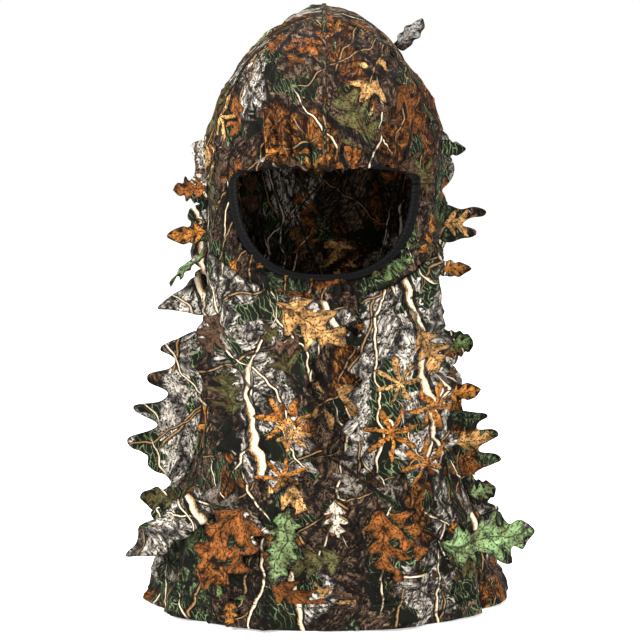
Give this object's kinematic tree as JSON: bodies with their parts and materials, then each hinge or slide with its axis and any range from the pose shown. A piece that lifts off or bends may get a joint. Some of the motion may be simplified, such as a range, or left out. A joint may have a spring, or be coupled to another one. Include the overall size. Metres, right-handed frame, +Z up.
{
  "type": "camouflage face mask",
  "caption": "Pull-on cloth hood with a gathered elastic face opening, a short flared cape and sewn-on die-cut leaf flaps in a woodland print.",
  "frame": {"origin": "inside the crown, where the top of the wearer's head carries the hood", "axes": "+Z up the hood to the crown, -Y out of the face opening, +X to the right of someone looking into the opening"},
  "size_m": [0.3047, 0.2541, 0.4481],
  "materials": {
    "camo_panel": "matte knit, woodland print on brown-black",
    "camo_bark": "matte knit, brown bark print",
    "camo_grey": "matte knit, grey bark print",
    "camo_rust": "matte knit, rust leaf print",
    "camo_moss": "matte knit, green leaf print",
    "edging": "matte folded and stitched edge",
    "elastic_black": "ribbed black elastic with an overlocked edge"
  },
  "bodies": {
    "hood": {"forehead_panel_left": "camo_panel", "hood_panel_left": "camo_panel", "cape_panel_left": "camo_panel", "forehead_panel_right": "camo_panel", "hood_panel_right": "camo_panel", "cape_panel_right": "camo_panel", "front_panel": "camo_panel", "hem_front": "edging", "hem_back": "edging", "opening_casing": "edging", "face_elastic": "elastic_black", "arch_tape_left": "edging", "neck_tape_left": "edging", "arch_tape_right": "edging", "neck_tape_right": "edging", "centre_tape": "edging", "back_tape": "edging"},
    "front_drape_left": {"front_drape_left": "camo_grey"},
    "front_drape_right": {"front_drape_right": "camo_grey"},
    "crown_leaf": {"crown_leaf": "camo_grey"},
    "temple_leaf_left": {"temple_leaf_left": "camo_rust"},
    "cheek_leaf_left": {"cheek_leaf_left": "camo_rust"},
    "jaw_leaf_left": {"jaw_leaf_left": "camo_moss"},
    "neck_spray_left": {"neck_spray_left": "camo_grey"},
    "shoulder_spray_left": {"shoulder_spray_left": "camo_grey"},
    "shoulder_leaf_left": {"shoulder_leaf_left": "camo_moss"},
    "temple_leaf_right": {"temple_leaf_right": "camo_grey"},
    "cheek_spray_right": {"cheek_spray_right": "camo_rust"},
    "jaw_leaf_right": {"jaw_leaf_right": "camo_rust"},
    "neck_leaf_right": {"neck_leaf_right": "camo_moss"},
    "shoulder_leaf_right": {"shoulder_leaf_right": "camo_rust"},
    "shoulder_spray_right": {"shoulder_spray_right": "camo_grey"},
    "elbow_leaf_right": {"elbow_leaf_right": "camo_moss"},
    "log_leaf_left": {"log_leaf_left": "camo_bark"},
    "rust_leaf_left": {"rust_leaf_left": "camo_rust"},
    "oak_leaf_left": {"oak_leaf_left": "camo_moss"},
    "birch_leaf_front": {"birch_leaf_front": "camo_grey"},
    "rust_leaf_right": {"rust_leaf_right": "camo_rust"},
    "oak_leaf_right": {"oak_leaf_right": "camo_moss"},
    "hem_leaf_left": {"hem_leaf_left": "camo_rust"},
    "back_leaf_1_1": {"back_leaf_1_1": "camo_rust"},
    "back_leaf_1_2": {"back_leaf_1_2": "camo_moss"},
    "back_leaf_2_1": {"back_leaf_2_1": "camo_moss"},
    "back_leaf_2_2": {"back_leaf_2_2": "camo_grey"},
    "back_leaf_2_3": {"back_leaf_2_3": "camo_bark"},
    "back_leaf_3_1": {"back_leaf_3_1": "camo_grey"},
    "back_leaf_3_2": {"back_leaf_3_2": "camo_bark"},
    "back_leaf_3_3": {"back_leaf_3_3": "camo_rust"},
    "back_leaf_3_4": {"back_leaf_3_4": "camo_moss"},
    "back_leaf_4_1": {"back_leaf_4_1": "camo_bark"},
    "back_leaf_4_2": {"back_leaf_4_2": "camo_rust"},
    "back_leaf_4_3": {"back_leaf_4_3": "camo_moss"}
  },
  "joints": [
    {"name": "front_drape_left_seam", "type": "hinge", "parent": "hood", "child": "front_drape_left", "pos_m": [-0.04216, -0.08286, -0.20803], "axis": [-0.8624, 0.5061, 0], "range_deg": [0, 55], "stiffness_Nm_per_rad": 0.012},
    {"name": "front_drape_right_seam", "type": "hinge", "parent": "hood", "child": "front_drape_right", "pos_m": [0.04965, -0.07792, -0.20803], "axis": [-0.8058, -0.5922, 0], "range_deg": [0, 55], "stiffness_Nm_per_rad": 0.012},
    {"name": "crown_leaf_seam", "type": "hinge", "parent": "hood", "child": "crown_leaf", "pos_m": [0.05458, -0.00658, -0.03069], "axis": [0.1731, 0.9806, -0.0916], "range_deg": [-40, 30], "stiffness_Nm_per_rad": 0.005},
    {"name": "temple_leaf_left_seam", "type": "hinge", "parent": "hood", "child": "temple_leaf_left", "pos_m": [-0.08658, -0.01392, -0.134], "axis": [-0.0265, 0.1716, 0.9848], "range_deg": [-35, 35], "stiffness_Nm_per_rad": 0.005},
    {"name": "cheek_leaf_left_seam", "type": "hinge", "parent": "hood", "child": "cheek_leaf_left", "pos_m": [-0.08603, -0.01714, -0.166], "axis": [-0.0634, 0.4162, 0.9071], "range_deg": [-35, 35], "stiffness_Nm_per_rad": 0.005},
    {"name": "jaw_leaf_left_seam", "type": "hinge", "parent": "hood", "child": "jaw_leaf_left", "pos_m": [-0.08629, -0.01705, -0.17799], "axis": [-0.1267, 0.8337, 0.5375], "range_deg": [-6, 35], "stiffness_Nm_per_rad": 0.005},
    {"name": "neck_spray_left_seam", "type": "hinge", "parent": "hood", "child": "neck_spray_left", "pos_m": [-0.08853, -0.00656, -0.21396], "axis": [0.0214, 0.3426, 0.9392], "range_deg": [-25, 18], "stiffness_Nm_per_rad": 0.005},
    {"name": "shoulder_spray_left_seam", "type": "hinge", "parent": "hood", "child": "shoulder_spray_left", "pos_m": [-0.09381, -0.00788, -0.30191], "axis": [0.1012, 0.0092, 0.9948], "range_deg": [-10, 30], "stiffness_Nm_per_rad": 0.005},
    {"name": "shoulder_leaf_left_seam", "type": "hinge", "parent": "hood", "child": "shoulder_leaf_left", "pos_m": [-0.10935, -0.01962, -0.36774], "axis": [0.1698, 0.6142, 0.7707], "range_deg": [-20, 40], "stiffness_Nm_per_rad": 0.005},
    {"name": "temple_leaf_right_seam", "type": "hinge", "parent": "hood", "child": "temple_leaf_right", "pos_m": [0.08706, -0.0105, -0.104], "axis": [-0.0257, -0.3411, -0.9397], "range_deg": [-35, 35], "stiffness_Nm_per_rad": 0.005},
    {"name": "cheek_spray_right_seam", "type": "hinge", "parent": "hood", "child": "cheek_spray_right", "pos_m": [0.08683, -0.01382, -0.16], "axis": [0.0168, 0.1383, -0.9902], "range_deg": [-35, 35], "stiffness_Nm_per_rad": 0.005},
    {"name": "jaw_leaf_right_seam", "type": "hinge", "parent": "hood", "child": "jaw_leaf_right", "pos_m": [0.08721, -0.01011, -0.19399], "axis": [-0.0023, -0.2588, -0.9659], "range_deg": [-35, 35], "stiffness_Nm_per_rad": 0.005},
    {"name": "neck_leaf_right_seam", "type": "hinge", "parent": "hood", "child": "neck_leaf_right", "pos_m": [0.08916, -0.01577, -0.24997], "axis": [0.0163, -0.1787, -0.9838], "range_deg": [-35, 35], "stiffness_Nm_per_rad": 0.005},
    {"name": "shoulder_leaf_right_seam", "type": "hinge", "parent": "hood", "child": "shoulder_leaf_right", "pos_m": [0.09028, -0.02027, -0.28796], "axis": [0.0818, 0.0523, -0.9953], "range_deg": [-25, 40], "stiffness_Nm_per_rad": 0.005},
    {"name": "shoulder_spray_right_seam", "type": "hinge", "parent": "hood", "child": "shoulder_spray_right", "pos_m": [0.0969, -0.01265, -0.32784], "axis": [0.1857, -0.0281, -0.9822], "range_deg": [-6, 35], "stiffness_Nm_per_rad": 0.005},
    {"name": "elbow_leaf_right_seam", "type": "hinge", "parent": "hood", "child": "elbow_leaf_right", "pos_m": [0.10923, -0.01634, -0.36575], "axis": [0.3157, -0.3091, -0.8971], "range_deg": [-20, 40], "stiffness_Nm_per_rad": 0.005},
    {"name": "log_leaf_left_seam", "type": "hinge", "parent": "hood", "child": "log_leaf_left", "pos_m": [-0.08731, -0.0564, -0.36177], "axis": [-0.3822, 0.7059, 0.5963], "range_deg": [-6, 60], "stiffness_Nm_per_rad": 0.005},
    {"name": "rust_leaf_left_seam", "type": "hinge", "parent": "hood", "child": "rust_leaf_left", "pos_m": [-0.05629, -0.08031, -0.36185], "axis": [-0.8313, 0.4853, 0.2711], "range_deg": [-6, 60], "stiffness_Nm_per_rad": 0.005},
    {"name": "oak_leaf_left_seam", "type": "hinge", "parent": "hood", "child": "oak_leaf_left", "pos_m": [-0.02421, -0.09082, -0.3579], "axis": [-0.9728, 0.2076, 0.1033], "range_deg": [-6, 60], "stiffness_Nm_per_rad": 0.005},
    {"name": "birch_leaf_front_seam", "type": "hinge", "parent": "hood", "child": "birch_leaf_front", "pos_m": [0.00734, -0.09232, -0.35192], "axis": [-0.9962, -0.0671, -0.0556], "range_deg": [-6, 60], "stiffness_Nm_per_rad": 0.005},
    {"name": "rust_leaf_right_seam", "type": "hinge", "parent": "hood", "child": "rust_leaf_right", "pos_m": [0.04238, -0.08602, -0.35988], "axis": [-0.9055, -0.3664, -0.2143], "range_deg": [-6, 60], "stiffness_Nm_per_rad": 0.005},
    {"name": "oak_leaf_right_seam", "type": "hinge", "parent": "hood", "child": "oak_leaf_right", "pos_m": [0.08451, -0.07014, -0.39385], "axis": [0.1484, -0.1354, -0.9796], "range_deg": [-4, 50], "stiffness_Nm_per_rad": 0.005},
    {"name": "hem_leaf_left_seam", "type": "hinge", "parent": "hood", "child": "hem_leaf_left", "pos_m": [-0.06789, -0.08698, -0.42738], "axis": [-0.9057, 0.3877, -0.1713], "range_deg": [-2, 60], "stiffness_Nm_per_rad": 0.005},
    {"name": "back_leaf_1_1_seam", "type": "hinge", "parent": "hood", "child": "back_leaf_1_1", "pos_m": [0.03816, 0.08547, -0.0616], "axis": [0.8506, -0.4799, -0.215], "range_deg": [-6, 60], "stiffness_Nm_per_rad": 0.005},
    {"name": "back_leaf_1_2_seam", "type": "hinge", "parent": "hood", "child": "back_leaf_1_2", "pos_m": [-0.03816, 0.08547, -0.0616], "axis": [0.8506, 0.4799, 0.215], "range_deg": [-6, 60], "stiffness_Nm_per_rad": 0.005},
    {"name": "back_leaf_2_1_seam", "type": "hinge", "parent": "hood", "child": "back_leaf_2_1", "pos_m": [0.07187, 0.06422, -0.13203], "axis": [0.4753, -0.8755, -0.0874], "range_deg": [-6, 60], "stiffness_Nm_per_rad": 0.005},
    {"name": "back_leaf_2_2_seam", "type": "hinge", "parent": "hood", "child": "back_leaf_2_2", "pos_m": [-0.01071, 0.11124, -0.13208], "axis": [0.9783, 0.1672, 0.1228], "range_deg": [-6, 60], "stiffness_Nm_per_rad": 0.005},
    {"name": "back_leaf_2_3_seam", "type": "hinge", "parent": "hood", "child": "back_leaf_2_3", "pos_m": [-0.07187, 0.06422, -0.13203], "axis": [0.4753, 0.8755, 0.0874], "range_deg": [-6, 60], "stiffness_Nm_per_rad": 0.005},
    {"name": "back_leaf_3_1_seam", "type": "hinge", "parent": "hood", "child": "back_leaf_3_1", "pos_m": [0.07683, 0.05202, -0.24598], "axis": [0.4991, -0.8608, -0.0994], "range_deg": [-6, 60], "stiffness_Nm_per_rad": 0.005},
    {"name": "back_leaf_3_2_seam", "type": "hinge", "parent": "hood", "child": "back_leaf_3_2", "pos_m": [0.031, 0.09228, -0.24602], "axis": [0.9234, -0.3679, -0.1093], "range_deg": [-6, 60], "stiffness_Nm_per_rad": 0.005},
    {"name": "back_leaf_3_3_seam", "type": "hinge", "parent": "hood", "child": "back_leaf_3_3", "pos_m": [-0.031, 0.09228, -0.24602], "axis": [0.9234, 0.3679, 0.1093], "range_deg": [-6, 60], "stiffness_Nm_per_rad": 0.005},
    {"name": "back_leaf_3_4_seam", "type": "hinge", "parent": "hood", "child": "back_leaf_3_4", "pos_m": [-0.07683, 0.05202, -0.24598], "axis": [0.4991, 0.8608, 0.0994], "range_deg": [-6, 60], "stiffness_Nm_per_rad": 0.005},
    {"name": "back_leaf_4_1_seam", "type": "hinge", "parent": "hood", "child": "back_leaf_4_1", "pos_m": [0.08358, 0.05528, -0.3377], "axis": [0.573, -0.8188, -0.0341], "range_deg": [-6, 60], "stiffness_Nm_per_rad": 0.005},
    {"name": "back_leaf_4_2_seam", "type": "hinge", "parent": "hood", "child": "back_leaf_4_2", "pos_m": [0.01577, 0.09766, -0.3379], "axis": [0.984, -0.1446, -0.104], "range_deg": [-6, 60], "stiffness_Nm_per_rad": 0.005},
    {"name": "back_leaf_4_3_seam", "type": "hinge", "parent": "hood", "child": "back_leaf_4_3", "pos_m": [-0.07493, 0.06616, -0.33774], "axis": [0.6801, 0.7326, 0.0265], "range_deg": [-6, 60], "stiffness_Nm_per_rad": 0.005}
  ]
}
